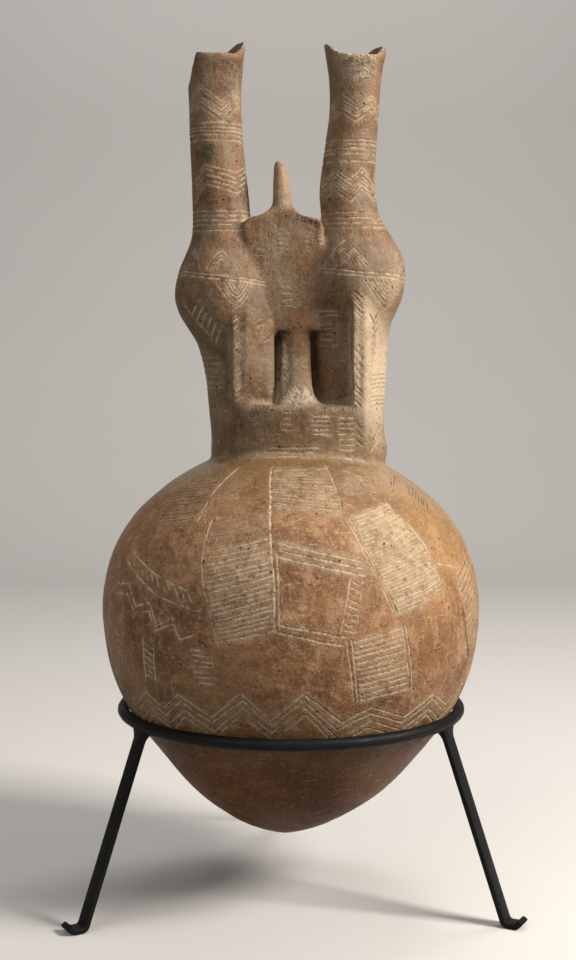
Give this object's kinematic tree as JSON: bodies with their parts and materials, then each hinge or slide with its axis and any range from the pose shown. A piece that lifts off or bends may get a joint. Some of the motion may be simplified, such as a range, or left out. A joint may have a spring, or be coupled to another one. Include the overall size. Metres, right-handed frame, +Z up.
{
  "type": "double-necked jug",
  "caption": "Hand-built red clay jug with a round pointed body, two bulbed necks joined by panels, and an iron ring stand on splayed legs.",
  "frame": {"origin": "on the floor under the middle of the whole object's box", "axes": "+Z up, along the height; +X to the right seen from the front; +Y to the back, where the handle is"},
  "size_m": [0.3076, 0.305, 0.5878],
  "materials": {
    "burnished_clay": "burnished",
    "worn_clay": "worn",
    "black_iron": "satin"
  },
  "bodies": {
    "stand": {"stand_ring": "black_iron", "stand_leg_left": "black_iron", "stand_leg_right": "black_iron", "stand_leg_back": "black_iron", "stand_weld_left": "black_iron", "stand_weld_right": "black_iron", "stand_weld_back": "black_iron"},
    "jug": {"body_bowl": "burnished_clay", "body_dome": "burnished_clay", "left_stem": "burnished_clay", "left_bulb": "burnished_clay", "left_tube": "burnished_clay", "left_mouth": "burnished_clay", "right_stem": "burnished_clay", "right_bulb": "burnished_clay", "right_tube": "burnished_clay", "right_mouth": "burnished_clay", "upper_panel": "worn_clay", "upper_horn": "worn_clay", "lower_panel": "worn_clay", "lower_post": "worn_clay", "left_strap": "worn_clay", "right_strap": "worn_clay", "neck_handle": "burnished_clay"}
  },
  "joints": [
    {"name": "jug_lift", "type": "slide", "parent": "stand", "child": "jug", "axis": [0, 0, 1], "range_m": [0, 0.15]}
  ]
}
